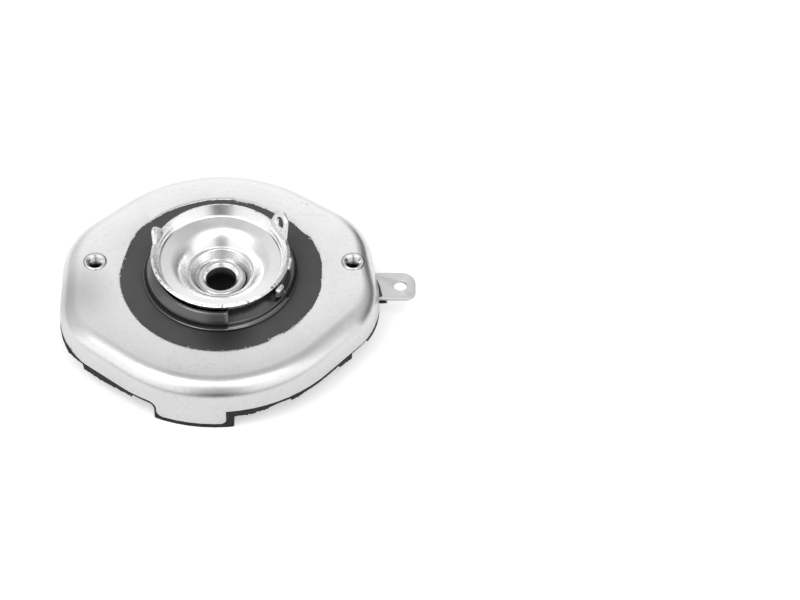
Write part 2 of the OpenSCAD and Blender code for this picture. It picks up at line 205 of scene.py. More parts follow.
# Cup, in mm: its sheet, and its upper face from the sleeve to the rim, as (radius, height), with its bends
CUP_SHEET = 1.5
RIM_R = 31.7
RIM_Z = 16.0
CUP_FACE = ((9.8, -1.5), (12.1, -1.5), (14.6, 3.1), (15.9, 3.5), (20.4, 9.1), (29.0, 11.15), (RIM_R, RIM_Z))
CUP_BENDS = (1.8, 0.9, 1.2, 11.0, 1.8)
CUP_STEPS = 180
# How far the cup leans to the right, in degrees
CUP_LEAN = 0.8
# How far down from the rim its outside is rough from shearing
SHEARED_H = 0.8
# Heights over which the painted shade low in the funnel fades out
FUNNEL_SHADE_Z = (0.0, 8.5)
# Places in the bend below the rim with drawing marks, their reach, and the lines' radii and half widths
DRAWING_MARKS = ((26.9, 12.0, 11.6), (-26.7, 12.5, 11.6))
MARK_REACH = 10.5
MARK_LINES = ((28.9, 0.5), (29.9, 0.35))
# Ears on the rim: bearing and lean in degrees, the height of the hole above the rim, the hole's radius, and
# the discs that the outline wraps, as (place along the rim, height above the rim, radius)
EAR_FACE_R = 32.2
HOLE_EAR = (30, 15, 4.8, 2.9, ((0, 5.6, 5.4), (-6.4, -0.7, 0.9), (6.4, -0.7, 0.9)))
PLAIN_EAR = (160, 24, 2.0, 0, ((0, 2.6, 2.8), (-5.2, -1.2, 0.6), (5.2, -1.2, 0.6)))
EAR_T = 1.3
EAR_ROUND = 0.22
EAR_POINTS = 64
# Radius of the middle of an ear without a hole
EAR_MIDDLE_R = 0.3
# Nib and tang on the rim: size out, along and up, place, bearing in degrees, and the rounding of the edges
NIB = ((2.4, 7, 1.7), (31.5, 0, 13.7), -8, 0.5)
TANG = ((2.6, 5.4, 5.4), (32.6, 0, 8.4), -33, 1.2)

# Stop ring, in mm: half sections of its raised pad and of its notch, as (radius, height)
STOP_INSIDE = ((24.0, 7.2), (24.0, 2.0), (35.3, 2.0), (35.4, 2.8))
STOP_LIP = ((36.6, 2.82), (36.88, 2.98), (36.95, 3.25), (36.85, 3.5), (36.55, 3.66), (36.1, 3.76),
            (35.75, 4.1), (35.5, 4.8))
STOP_PAD = ((35.5, 5.4), (35.45, 6.0), (35.25, 6.7), (34.9, 7.3), (34.4, 7.9), (33.8, 8.6), (33.2, 9.3),
            (32.7, 9.8), (32.2, 10.2), (31.5, 10.4), (30.8, 10.1), (29.4, 8.9))
STOP_NOTCH = ((35.3, 6.0), (35.1, 6.3), (34.8, 6.4), (25.0, 6.4))
# Heights of the hollow between the lip and the pad, which is painted near black as shade
HOLLOW_Z = (3.7, 5.1)
# Bearings of the notch, in degrees, and the steps that the pad and the notch are turned in
NOTCH_FROM = -83
NOTCH_TO = -28
PAD_STEPS = 150
NOTCH_STEPS = 28
# The pad's ends lean in: by how many degrees they run on and how far in they come
END_TURN = 1.2
END_TAPER = 0.7

# Heights in mm below all that shows, for a finish that would darken with depth but doesn't here
NO_DEPTH = (-20.0, -19.0)


def grey(level):
    """A plain grey as a colour."""
    return (level, level, level, 1)


def add_camera():
    """Camera at the photograph's view."""
    data = bpy.data.cameras.new("photo_camera")
    data.lens = LENS_MM
    data.sensor_width = SENSOR_MM
    data.clip_end = CAMERA_REACH
    camera = bpy.data.objects.new("photo_camera", data)
    camera.location = CAMERA_PLACE
    camera.rotation_euler = (math.radians(90 - CAMERA_ELEVATION), 0, 0)
    scene.collection.objects.link(camera)
    scene.camera = camera


class Wiring:
    """A node tree under construction."""

    def __init__(self, tree):
        self.tree = tree

    def add(self, kind, **values):
        """A new node with some of its own values set."""
        node = self.tree.nodes.new(kind)
        for key, value in values.items():
            setattr(node, key, value)
        return node

    def link(self, source, target):
        self.tree.links.new(source, target)

    def feed(self, value, target):
        """Links a socket, or sets a plain value."""
        if isinstance(value, bpy.types.NodeSocket):
            self.link(value, target)
        else:
            target.default_value = value

    def math(self, operation, *values):
        """One step of arithmetic."""
        node = self.add("ShaderNodeMath", operation=operation)
        for value, target in zip(values, node.inputs):
            self.feed(value, target)
        return node.outputs["Value"]

    def between(self, value, low, high):
        """0 below low, 1 above high, and smooth from one to the other."""
        node = self.add("ShaderNodeMapRange", interpolation_type="SMOOTHSTEP")
        self.feed(value, node.inputs["Value"])
        node.inputs["From Min"].default_value = low
        node.inputs["From Max"].default_value = high
        return node.outputs["Result"]

    def ramp(self, value, stops):
        """Greys at stops along a value from 0 to 1."""
        node = self.add("ShaderNodeValToRGB")
        elements = node.color_ramp.elements
        while len(elements) < len(stops):
            elements.new(0.5)
        for element, (place, level) in zip(elements, stops):
            element.position = place
            element.color = grey(level)
        self.link(value, node.inputs["Fac"])
        return node.outputs["Color"]

    def mixed(self, one, two, share=1.0, blend="MULTIPLY"):
        """Two colours multiplied, or blended in another way."""
        node = self.add("ShaderNodeMix", data_type="RGBA", blend_type=blend)
        self.feed(share, node.inputs["Factor"])
        self.feed(one, node.inputs["A"])
        self.feed(two, node.inputs["B"])
        return node.outputs["Result"]


class Finish(Wiring):
    """A material under construction: its nodes, its links and its shader."""

    def __init__(self, name):
        self.material = bpy.data.materials.new(name)
        self.material.use_nodes = True
        super().__init__(self.material.node_tree)
        self.shader = self.tree.nodes["Principled BSDF"]
        self.place = self.add("ShaderNodeTexCoord").outputs["Object"]

    def set(self, **values):
        """Sets plain values on the shader's own sockets."""
        for key, value in values.items():
            self.shader.inputs[key.replace("_", " ")].default_value = value

    def stretched(self, scale, turn):
        """The object's coordinates, scaled and turned about the upright axis by degrees."""
        mapping = self.add("ShaderNodeMapping")
        mapping.inputs["Scale"].default_value = scale
        mapping.inputs["Rotation"].default_value = (0, 0, math.radians(turn))
        self.link(self.place, mapping.inputs["Vector"])
        return mapping.outputs["Vector"]

    def noise(self, scale, detail, rough, stretch=None, turn=0.0):
        """Even noise on the object's coordinates, or stretched noise."""
        node = self.add("ShaderNodeTexNoise")
        node.inputs["Scale"].default_value = scale
        node.inputs["Detail"].default_value = detail
        node.inputs["Roughness"].default_value = rough
        self.link(self.stretched(stretch, turn) if stretch else self.place, node.inputs["Vector"])
        return node.outputs["Fac"]

    def mottled(self, scale, low, high, detail=4, rough=0.6):
        """Noise that runs from one grey to another."""
        return self.ramp(self.noise(scale, detail, rough), [(0.3, low), (0.7, high)])

    def axis(self, name):
        """One of the object's coordinates."""
        split = self.add("ShaderNodeSeparateXYZ")
        self.link(self.place, split.inputs["Vector"])
        return split.outputs[name]

    def rise(self, name, low_mm, high_mm):
        """0 below one place along an axis and 1 above another."""
        return self.between(self.axis(name), low_mm * MM, high_mm * MM)

    def deepened(self, tone, black, heights_mm):
        """Painted shade: a tone that is near black below the first of two heights and full above the
        second.
        """
        return self.mixed(grey(black), tone, self.rise("Z", *heights_mm), "MIX")

    def spot(self, place_mm, radius_mm):
        """1 at a place on the part, falling softly to 0 at a radius."""
        away = self.add("ShaderNodeVectorMath", operation="DISTANCE")
        self.link(self.place, away.inputs[0])
        away.inputs[1].default_value = Vector(place_mm) * MM
        return self.math("SUBTRACT", 1.0, self.between(away.outputs["Value"], 0.0, radius_mm * MM))

    def line(self, value, middle_mm, half_mm):
        """1 where a length is at its middle, falling softly to 0 on both sides."""
        away = self.math("ABSOLUTE", self.math("SUBTRACT", value, middle_mm * MM))
        return self.math("SUBTRACT", 1.0, self.between(away, 0.0, half_mm * MM))

    def colour(self, source):
        """Links the shader's colour."""
        self.link(source, self.shader.inputs["Base Color"])

    def roughness(self, source):
        """Links the shader's roughness."""
        self.link(source, self.shader.inputs["Roughness"])

    def bump(self, *layers):
        """Layers of fine relief, each a height, a strength and a distance in metres."""
        normal = None
        for height, strength, distance in layers:
            node = self.add("ShaderNodeBump")
            node.inputs["Strength"].default_value = strength
            node.inputs["Distance"].default_value = distance
            self.link(height, node.inputs["Height"])
            if normal:
                self.link(normal, node.inputs["Normal"])
            normal = node.outputs["Normal"]
        self.link(normal, self.shader.inputs["Normal"])


def satin_zinc():
    """Dull bright zinc on pressed steel, with faint cloudiness, specks, a few scuffs and painted shade."""
    finish = Finish("satin_zinc")
    clouds = finish.mottled(22, 0.83, 0.9, 5, 0.55)
    specks = finish.ramp(finish.noise(520, 3, 0.6), [(0.34, 0.94), (0.46, 1.0)])
    scuffs = finish.ramp(finish.noise(46, 6, 0.7, (0.5, 2.6, 1.0), 24), [(0.3, 0.9), (0.37, 1.0)])
    # Painted shade: darker towards the front
    painted_shade = finish.ramp(finish.rise("Y", *SHADED_FRONT_Y), [(0.0, 0.82), (1.0, 1.0)])
    # Painted shade: a dark patch on the left
    dish_shade = finish.math("MULTIPLY", finish.spot(DISH_SHADE, DISH_SHADE_R), 0.7)
    tone = finish.mixed(finish.mixed(finish.mixed(clouds, specks), scuffs), painted_shade)
    finish.colour(finish.mixed(tone, grey(0.45), dish_shade, "MIX"))
    finish.roughness(finish.mottled(40, 0.24, 0.31, 5))
    finish.set(Metallic=1.0)
    dents = finish.noise(20, 2, 0.5)
    grain = finish.noise(1100, 3, 0.6)
    finish.bump((dents, 0.16, 0.0012), (grain, 0.1, 0.0001))
    return finish.material


def bright_steel():
    """Bright plated steel of the cup, with painted shade low in the funnel and drawing marks near the ears.
    """
    finish = Finish("bright_steel")
    # Painted shade: darker low in the funnel
    painted_shade = finish.ramp(finish.rise("Z", *FUNNEL_SHADE_Z), [(0.0, 0.76), (1.0, 1.0)])
    tone = finish.mixed(finish.mottled(70, 0.8, 0.87, 5), painted_shade)
    squares = [finish.math("POWER", finish.axis(name), 2.0) for name in "XY"]
    out = finish.math("SQRT", finish.math("ADD", *squares))
    marks = finish.math("ADD", *(finish.line(out, *line) for line in MARK_LINES))
    near = finish.math("ADD", *(finish.spot(place, MARK_REACH) for place in DRAWING_MARKS))
    marked = finish.math("MULTIPLY", marks, near)
    finish.colour(finish.mixed(tone, grey(0.18), marked, "MIX"))
    finish.roughness(finish.mottled(140, 0.23, 0.29))
    finish.set(Metallic=1.0)
    finish.bump((finish.noise(36, 2, 0.5), 0.06, 0.0006), (finish.noise(1100, 3, 0.6), 0.05, 0.0001))
    return finish.material


def sheared_steel():
    """Rough sheared edge of the cup's rim, bright with dark pits."""
    finish = Finish("sheared_steel")
    finish.colour(finish.ramp(finish.noise(800, 4, 0.6), [(0.36, 0.2), (0.48, 0.88)]))
    finish.roughness(finish.mottled(300, 0.3, 0.5))
    finish.set(Metallic=1.0)
    finish.bump((finish.noise(420, 4, 0.6), 0.5, 0.0003))
    return finish.material


def turned_steel():
    """Peened and turned steel of the sleeve."""
    finish = Finish("turned_steel")
    finish.colour(finish.mottled(160, 0.56, 0.74, 5))
    finish.roughness(finish.mottled(200, 0.2, 0.28))
    finish.set(Metallic=1.0)
    finish.bump((finish.noise(110, 3, 0.6), 0.15, 0.0003), (finish.noise(900, 3, 0.6), 0.1, 0.0001))
    return finish.material


def painted_black_shade(name, low, high, heights_mm=NO_DEPTH):
    """Near-black painted shade for hollows and gaps, which may lose its last grey with depth."""
    finish = Finish(name)
    finish.colour(finish.deepened(finish.mottled(200, low, high), 0.005, heights_mm))
    finish.set(Roughness=0.5, Specular_IOR_Level=0.25)
    return finish.material


def nut_steel(name, low, high, heights_mm=NO_DEPTH):
    """Steel of the weld nuts, which may take painted shade that darkens with depth."""
    finish = Finish(name)
    finish.colour(finish.deepened(finish.mottled(300, low, high, 5), 0.01, heights_mm))
    finish.roughness(finish.mottled(260, 0.18, 0.3))
    finish.set(Metallic=1.0)
    finish.bump((finish.noise(900, 3, 0.6), 0.2, 0.0001))
    return finish.material


def lug_steel():
    """Grey stamped strip of the side lug."""
    finish = Finish("lug_steel")
    finish.colour(finish.mottled(60, 0.6, 0.72, 6, 0.65))
    finish.roughness(finish.mottled(150, 0.36, 0.48))
    finish.set(Metallic=1.0)
    finish.bump((finish.noise(40, 2, 0.5), 0.3, 0.001), (finish.noise(800, 3, 0.6), 0.15, 0.0001))
    return finish.material


def matt_rubber(name, low, high, patch=0.0):
    """Moulded rubber, matt and dark grey, with a share of the painted shadow in front of the ring."""
    finish = Finish(name)
    # Painted shadow: near black in front of the ring
    shadowed = finish.math("MULTIPLY", finish.spot(RING_SHADOW, RING_SHADOW_R), patch)
    finish.colour(finish.mixed(finish.mottled(55, low, high, 5), grey(0.01), shadowed, "MIX"))
    finish.roughness(finish.mottled(180, 0.6, 0.72))
    finish.set(Specular_IOR_Level=0.35)
    finish.bump((finish.noise(30, 2, 0.5), 0.15, 0.0008), (finish.noise(1400, 3, 0.6), 0.25, 0.0001))
    return finish.material


def ring_black(name, rough, level, coat_ior):
    """Black moulded plastic of the ring with a worn gloss."""
    finish = Finish(name)
    finish.colour(finish.mottled(90, 0.006, 0.012, 5))
    finish.roughness(finish.mottled(120, rough, rough + 0.08))
    finish.set(Specular_IOR_Level=level, Coat_Weight=1.0, Coat_Roughness=rough, Coat_IOR=coat_ior)
    finish.bump((finish.noise(50, 2, 0.5), 0.1, 0.0006))
    return finish.material


def dark_steel():
    """Phosphated steel bonded inside the rubber."""
    finish = Finish("dark_steel")
    finish.colour(finish.mottled(120, 0.12, 0.2, 5))
    finish.roughness(finish.mottled(150, 0.45, 0.6))
    finish.set(Metallic=0.8)
    return finish.material


ZINC = satin_zinc()
BRIGHT = bright_steel()
SHEARED = sheared_steel()
TURNED = turned_steel()
# Painted shade, near black, for bores, hollows and gaps; the sleeve's bore darkens with depth
SHADE_BLACK = painted_black_shade("painted_black_shade", 0.006, 0.014)
BORE_SHADE = painted_black_shade("bore_shade", 0.05, 0.09, (-6.5, -2.5))
NUT = nut_steel("nut_steel", 0.6, 0.86)
# Painted shade: the threads are darker than the nut, and near black with depth
THREAD = nut_steel("thread_steel", 0.45, 0.7, (-3.6, 0.6))
LUG = lug_steel()
# Rubber with the painted shadow in front of the ring
RUBBER = matt_rubber("matt_rubber", 0.072, 0.09, 0.85)
# Painted shade: a darker copy of the rubber for faces under the skirt and the lug
SHADED_RUBBER = matt_rubber("shaded_rubber", 0.014, 0.022)
GLOSS_BLACK = ring_black("gloss_black", 0.15, 1.0, 1.75)
WORN_BLACK = ring_black("worn_black", 0.2, 0.6, 1.66)
DARK = dark_steel()


def new_object(name, shape, *materials):
    """A new object from a finished bmesh."""
    mesh = bpy.data.meshes.new(name)
    shape.to_mesh(mesh)
    shape.free()
    for material in materials:
        mesh.materials.append(material)
    obj = bpy.data.objects.new(name, mesh)
    scene.collection.objects.link(obj)
    return obj


def piece(name, shape, slot, *materials):
    """A new piece that rides on the part."""
    obj = new_object(name, shape, *materials)
    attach(obj, "root")
    return obj


def smoothed(obj, angle):
    """Smooth shading with edges sharper than angle kept."""
    obj.data.shade_smooth()
    obj.data.set_sharp_from_angle(angle=math.radians(angle))
    return obj


def soften(shape, width_mm, segments=2):
    """Rounds the sharp edges of a bmesh."""
    limit = math.radians(40)
    edges = [e for e in shape.edges if e.is_manifold and e.calc_face_angle() > limit]
    bmesh.ops.bevel(shape, geom=edges, offset=width_mm * MM, segments=segments, profile=0.5,
                    affect="EDGES", clamp_overlap=True, material=-1)


def node_copy(name, node, slot, *materials, round_mm=0.0, second=None):
    """A merged, smooth copy of a CAD node; faces that second picks take the second material."""
    shape = bmesh.new()
    shape.from_mesh(nodes[node].data)
    bmesh.ops.remove_doubles(shape, verts=shape.verts, dist=1e-6)
    if round_mm:
        bmesh.ops.dissolve_limit(shape, angle_limit=math.radians(0.5), verts=shape.verts, edges=shape.edges)
        soften(shape, round_mm)
    for face in shape.faces:
        face.material_index = 1 if second and second(face) else 0
    obj = smoothed(piece(name, shape, slot, *materials), 28)
    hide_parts(node)


def joined(shape, other):
    """Adds one bmesh to another."""
    mesh = bpy.data.meshes.new("joined")
    other.to_mesh(mesh)
    other.free()
    shape.from_mesh(mesh)
    bpy.data.meshes.remove(mesh)


def grown(shape, faces):
    """Extrudes faces and gives back the new vertices, still in place."""
    new = bmesh.ops.extrude_face_region(shape, geom=faces)["geom"]
    return [v for v in new if isinstance(v, bmesh.types.BMVert)]


def spun(shape, profile_mm, steps=128, centre=(0, 0)):
    """Turns a profile of (radius, height) once round an upright axis."""
    at = Vector((centre[0], centre[1], 0)) * MM
    verts = [shape.verts.new(at + Vector((r, 0, z)) * MM) for r, z in profile_mm]
    edges = [shape.edges.new(pair) for pair in zip(verts, verts[1:])]
    bmesh.ops.spin(shape, geom=verts + edges, cent=at, axis=(0, 0, 1), angle=2 * math.pi, steps=steps,
                   use_merge=True, use_duplicate=False)
    bmesh.ops.remove_doubles(shape, verts=shape.verts, dist=1e-6)
    bmesh.ops.recalc_face_normals(shape, faces=shape.faces)


def arc(centre, radii, start, end, steps):
    """Points of an elliptic arc, with angles in degrees."""
    turns = [math.radians(start + (end - start) * i / steps) for i in range(steps + 1)]
    return [(centre[0] + radii[0] * math.cos(a), centre[1] + radii[1] * math.sin(a)) for a in turns]


def reach(discs, bearing, inset=0.0):
    """Distance from the origin to the outline that wraps discs: the nearest of its tangent lines."""
    nearest = math.inf
    for step in range(-80, 81, 2):
        a = bearing + math.radians(step)
        line = max(x * math.cos(a) + y * math.sin(a) + r - inset for x, y, r in discs)
        nearest = min(nearest, line / math.cos(a - bearing))
    return nearest


def rounded(line, radii, steps=8):
    """A line of (x, y) with each inner corner rounded to its radius by a short arc."""
    points = [Vector(p) for p in line]
    out = [points[0]]
    for before, corner, after, radius in zip(points, points[1:], points[2:], radii):
        into = (corner - before).normalized()
        away = (after - corner).normalized()
        bend = into.angle(away)
        side = 1 if into.cross(away) > 0 else -1
        start = corner - into * radius * math.tan(bend / 2)
        hub = start + Vector((-into.y, into.x)) * radius * side
        spoke = start - hub
        for k in range(steps + 1):
            out.append(hub + Matrix.Rotation(side * bend * k / steps, 2) @ spoke)
    return out + [points[-1]]


def moved(line, distance):
    """The line moved to its right, with mitred corners."""
    out = []
    for i, point in enumerate(line):
        into = (point - line[i - 1]).normalized() if i else (line[1] - point).normalized()
        away = (line[i + 1] - point).normalized() if i < len(line) - 1 else into
        middle = (into + away).normalized()
        out.append(point + Vector((middle.y, -middle.x)) * distance / middle.dot(into))
    return out


def turned(shape, verts, degrees):
    """Turns vertices about the upright axis."""
    turn = Matrix.Rotation(math.radians(degrees), 3, "Z")
    bmesh.ops.rotate(shape, verts=verts, cent=(0, 0, 0), matrix=turn)


def swept(section_mm, start, end, steps, taper_mm=0.0):
    """Turns a closed section of (radius, height) between two bearings, with ends that may taper in."""
    shape = bmesh.new()
    section = shape.faces.new([shape.verts.new(Vector((r, 0, z)) * MM) for r, z in section_mm])
    bmesh.ops.spin(shape, geom=[section], cent=(0, 0, 0), axis=(0, 0, 1), angle=math.radians(end - start),
                   steps=steps, use_duplicate=False)
    turned(shape, shape.verts, start)
    tapers = ((start, -END_TURN), (end, END_TURN)) if taper_mm else ()
    for degrees, turn in tapers:
        away = Vector((math.cos(math.radians(degrees)), math.sin(math.radians(degrees)), 0))
        ends = [face for face in shape.faces if len(face.verts) == len(section_mm)]
        last = max(ends, key=lambda face: face.calc_center_median().dot(away))
        verts = grown(shape, [last])
        bmesh.ops.translate(shape, verts=verts, vec=-away * taper_mm * MM)
        turned(shape, verts, turn)
        bmesh.ops.delete(shape, geom=[last], context="FACES_ONLY")
    return shape


def add_ring():
    """Black stop ring with a rounded lip, a raised pad and a notch."""
    low = STOP_INSIDE + STOP_LIP
    shape = swept(low + STOP_PAD, NOTCH_TO, NOTCH_FROM + 360, PAD_STEPS, END_TAPER)
    joined(shape, swept(low + STOP_NOTCH, NOTCH_FROM, NOTCH_TO, NOTCH_STEPS))
    bmesh.ops.recalc_face_normals(shape, faces=shape.faces)
    # Painted shade: the hollow over the lip is near black under the pad; the pad and the notch are worn
    hollow_low, hollow_high = HOLLOW_Z
    for face in shape.faces:
        place = face.calc_center_median() / MM
        in_notch = NOTCH_FROM < math.degrees(math.atan2(place.y, place.x)) < NOTCH_TO
        if hollow_low < place.z < hollow_high and not in_notch:
            face.material_index = 1
        elif place.z > hollow_high:
            face.material_index = 2
    obj = smoothed(piece("ring", shape, "black_plastic", GLOSS_BLACK, SHADE_BLACK, WORN_BLACK), 42)
    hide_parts("stop_ring")


def plate(ear):
    """A plate with a rounded edge, and a hole if it has a radius: x along the rim, y up, z outwards."""
    _, _, middle, hole_r, discs = ear
    shape = bmesh.new()
    around = [(x, y - middle, r) for x, y, r in discs]
    edge = []
    inner = []
    for i in range(EAR_POINTS):
        a = 2 * math.pi * i / EAR_POINTS
        way = Vector((math.cos(a), math.sin(a), 0)) * MM
        edge.append(shape.verts.new(way * reach(around, a)))
        inner.append(shape.verts.new(way * (hole_r or EAR_MIDDLE_R)))
    for i in range(EAR_POINTS):
        k = (i + 1) % EAR_POINTS
        shape.faces.new((edge[i], edge[k], inner[k], inner[i]))
    if not hole_r:
        shape.faces.new(inner)
    bmesh.ops.translate(shape, verts=grown(shape, shape.faces[:]), vec=(0, 0, EAR_T * MM))
    bmesh.ops.recalc_face_normals(shape, faces=shape.faces)
    soften(shape, EAR_ROUND)
    return shape


def block(size_mm, place_mm, bearing, width_mm):
    """A rounded block with the middle of its lower inner edge at a place, turned to a bearing."""
    shape = bmesh.new()
    bmesh.ops.create_cube(shape, size=1)
    bmesh.ops.translate(shape, verts=shape.verts, vec=(0.5, 0, 0.5))
    bmesh.ops.scale(shape, verts=shape.verts, vec=Vector(size_mm) * MM)
    soften(shape, width_mm, segments=3)
    bmesh.ops.translate(shape, verts=shape.verts, vec=Vector(place_mm) * MM)
    turned(shape, shape.verts, bearing)
    return shape


def add_cup():
    """Pressed cup with a sheared rim, two ears, a nib and a tang."""
    face = rounded(CUP_FACE, CUP_BENDS)
    back = moved(face, CUP_SHEET)
    section = [tuple(p) for p in face + back[::-1]]
    section.append(section[0])
    shape = bmesh.new()
    spun(shape, section, CUP_STEPS)
    for part in shape.faces:
        place = part.calc_center_median() / MM
        if place.z > RIM_Z - SHEARED_H and math.hypot(place.x, place.y) > RIM_R:
            part.material_index = 1
    # Turns a plate's axes, along the rim, up and out, to y, z and x
    stand = Matrix(((0, 0, 1), (1, 0, 0), (0, 1, 0)))
    for ear in (HOLE_EAR, PLAIN_EAR):
        bearing, lean, middle = ear[:3]
        own = plate(ear)
        bmesh.ops.rotate(own, verts=own.verts, matrix=stand)
        bmesh.ops.rotate(own, verts=own.verts, matrix=Matrix.Rotation(math.radians(lean), 3, "Y"))
        bmesh.ops.translate(own, verts=own.verts, vec=Vector((EAR_FACE_R, 0, RIM_Z + middle)) * MM)
        turned(own, own.verts, bearing)
        joined(shape, own)
    nib = block(*NIB)
    for part in nib.faces:
        part.material_index = 1
    joined(shape, nib)
    joined(shape, block(*TANG))
    tilt = Matrix.Rotation(math.radians(CUP_LEAN), 3, "Y")
    bmesh.ops.rotate(shape, verts=shape.verts, cent=(0, 0, 0), matrix=tilt)
    obj = smoothed(piece("cup", shape, "bright_steel", BRIGHT, SHEARED), 40)
    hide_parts("rebound_cup")


def lip_flash(bearing):
    """Drop and spread of the flash on the lip at a bearing in degrees."""
    for start, end, drop, last_drop, spread, last_spread in LIP_FLASH:
        if start <= bearing <= end:
            share = (bearing - start) / (end - start)
            return drop + (last_drop - drop) * share, spread + (last_spread - spread) * share
    return 0.0, 0.0


def add_lip_flash():
    """Ragged flash of the moulding below the rubber lip."""
    rng = random.Random(7)
    shape = bmesh.new()
    rings = []
    for i in range(LIP_STEPS):
        degrees = -180 + 360 * i / LIP_STEPS
        bearing = math.radians(degrees)
        drop, spread = lip_flash(degrees)
        outer = reach(DISCS, bearing, LIP_INSET) + spread * rng.uniform(0.9, 1.1)
        way = Vector((math.cos(bearing), math.sin(bearing), 0))
        high = SKIRT_Z - (0.1 if spread > LIP_INSET else LIP_H / 2)
        low = SKIRT_Z - LIP_H - drop * rng.uniform(0.85, 1.1) - rng.uniform(0.02, 0.12)
        section = ((outer + 0.05, high), (outer - 0.05, low), (outer - LIP_T, low), (outer - LIP_T, high))
        corners = [shape.verts.new((way * r + Vector((0, 0, z))) * MM) for r, z in section]
        rings.append(corners + corners[:1])
    banded(shape, rings)
    # The flash takes the darker rubber as painted shade
    smoothed(piece("lip_flash", shape, "rubber", SHADED_RUBBER), 35)


def collar_height(r):
    """Height of the window's bend at a radius."""
    return TOP_Z - COLLAR_BEND_R + math.sqrt(COLLAR_BEND_R ** 2 - (WINDOW_R - r) ** 2)


def wander(bearing):
    """How far out the edge of the window's rubber lies at a bearing in degrees."""
    total = 0.0
    for middle, half, out in EDGE_WANDERS:
        away = abs((bearing - middle + 180) % 360 - 180)
        if away < half:
            total += out * math.cos(math.pi / 2 * away / half)
    return total


def banded(shape, rings):
    """Joins each ring of points to the next, and the last to the first."""
    for one, two in zip(rings, rings[1:] + rings[:1]):
        for k in range(len(one) - 1):
            shape.faces.new((one[k], one[k + 1], two[k + 1], two[k]))
    bmesh.ops.recalc_face_normals(shape, faces=shape.faces)


def add_window_flash():
    """Ragged edge of the window: a thin film of rubber on the bend, and bare steel where it is short."""
    rng = random.Random(11)
    film = bmesh.new()
    steel = bmesh.new()
    film_rings = []
    steel_rings = []
    least, most = FILM_SPREAD
    spread = 0.3
    for i in range(WINDOW_STEPS):
        bearing = 2 * math.pi * i / WINDOW_STEPS
        spread = min(most, max(least, spread + rng.uniform(-FILM_CHANGE, FILM_CHANGE)))
        notch = rng.uniform(*NICK) if rng.random() < NICK_SHARE else rng.uniform(-RAGGED, RAGGED)
        out = wander(360 * i / WINDOW_STEPS)
        way = Vector((math.cos(bearing), math.sin(bearing), 0))
        edge = FILM_EDGE_R + max(-0.2, spread + notch + max(out, 0.0))
        middle = (FILM_INNER_R + edge) / 2 + 0.1
        section = ((FILM_INNER_R, RUBBER_Z + 0.03), (middle, max(RUBBER_Z, collar_height(middle)) + 0.07),
                   (edge, collar_height(edge) + 0.02))
        film_rings.append([film.verts.new((way * r + Vector((0, 0, z))) * MM) for r, z in section])
        inner = BARE_R + min(1.25 * out, 0.0) + notch * 0.6
        low = RUBBER_Z + 0.12 if out < -0.15 else collar_height(BARE_R - 0.1) - 0.1
        section = ((inner, low), ((inner + WINDOW_R) / 2, max(low, TOP_Z - 0.04)),
                   (WINDOW_R, TOP_Z + 0.015))
        steel_rings.append([steel.verts.new((way * r + Vector((0, 0, z))) * MM) for r, z in section])
    banded(film, film_rings)
    banded(steel, steel_rings)
    smoothed(piece("window_flash", film, "rubber", RUBBER), 60)
    smoothed(piece("window_edge", steel, "zinc_steel", ZINC), 60)


def add_seam(name, slot, material, profile_mm, steps, centre=(0, 0)):
    """A thin dark seam round an upright axis."""
    shape = bmesh.new()
    spun(shape, profile_mm, steps, centre)
    piece(name, shape, slot, material)


def add_sleeve():
    """Sleeve with its head peened to a round ring, and painted near-black shade in its bore."""
    corner = (FLANGE_R - FLANGE_ROUND, FLANGE_TOP_Z - FLANGE_ROUND)
    flange = arc(corner, (FLANGE_ROUND, FLANGE_ROUND), 0, 90, 4)
    head = arc(HEAD, HEAD_HALF, 0, 170, 16)
    mouth_top, mouth_low = MOUTH_Z
    profile = [(BORE_R, -SLEEVE_H), (SLEEVE_R, -SLEEVE_H), (SLEEVE_R, -FLANGE_T)]
    profile += [(FLANGE_FOOT_R, -FLANGE_T)] + flange + [HEAD_FOOT] + head
    profile += [(BORE_R + MOUTH_W, mouth_top), (BORE_R, mouth_low), (BORE_R, -SLEEVE_H)]
    shape = bmesh.new()
    spun(shape, profile)
    # The bore's own faces take painted shade that darkens with depth
    for face in shape.faces:
        place = face.calc_center_median()
        if math.hypot(place.x, place.y) < (BORE_R + 0.05) * MM:
            face.material_index = 1
    obj = smoothed(piece("sleeve", shape, "sleeve_steel", TURNED, BORE_SHADE), 40)
    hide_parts("center_sleeve")
    # A thin line of painted shade round the flange's edge
    seam = ((FLANGE_R - 0.1, -1.25), (FLANGE_R + 0.2, -1.15), (FLANGE_R + 0.6, -1.25))
    add_seam("sleeve_seam", "sleeve_steel", SHADE_BLACK, seam, 96)


def add_threads():
    """Thread ridges in both nuts, and the dark seam round each collar."""
    turns = (THREAD_TOP_Z - NUT_LOW_Z) / THREAD_PITCH
    rise = (0, 0, THREAD_PITCH / THREAD_STEPS * MM)
    root = NUT_BORE_R + 0.05
    ridge = ((root, -THREAD_HALF), (NUT_BORE_R - THREAD_DEPTH, 0), (root, THREAD_HALF))
    rim = NUT_COLLAR_R
    seam = ((rim - 0.05, TOP_Z), (rim + 0.12, TOP_Z + 0.05), (rim + 0.32, TOP_Z))
    for side, x in zip(("left", "right"), NUT_X):
        shape = bmesh.new()
        at = Vector((x, NUT_Y, 0)) * MM
        verts = [shape.verts.new(at + Vector((r, 0, NUT_LOW_Z + z)) * MM) for r, z in ridge]
        edges = [shape.edges.new(pair) for pair in zip(verts, verts[1:])]
        bmesh.ops.spin(shape, geom=verts + edges, cent=at, axis=(0, 0, 1), dvec=rise,
                       angle=turns * 2 * math.pi, steps=round(turns * THREAD_STEPS), use_duplicate=False)
        smoothed(piece(f"{side}_thread", shape, "nut_steel", THREAD), 50)
        add_seam(f"{side}_seam", "nut_steel", DARK, seam, 64, (x, NUT_Y))


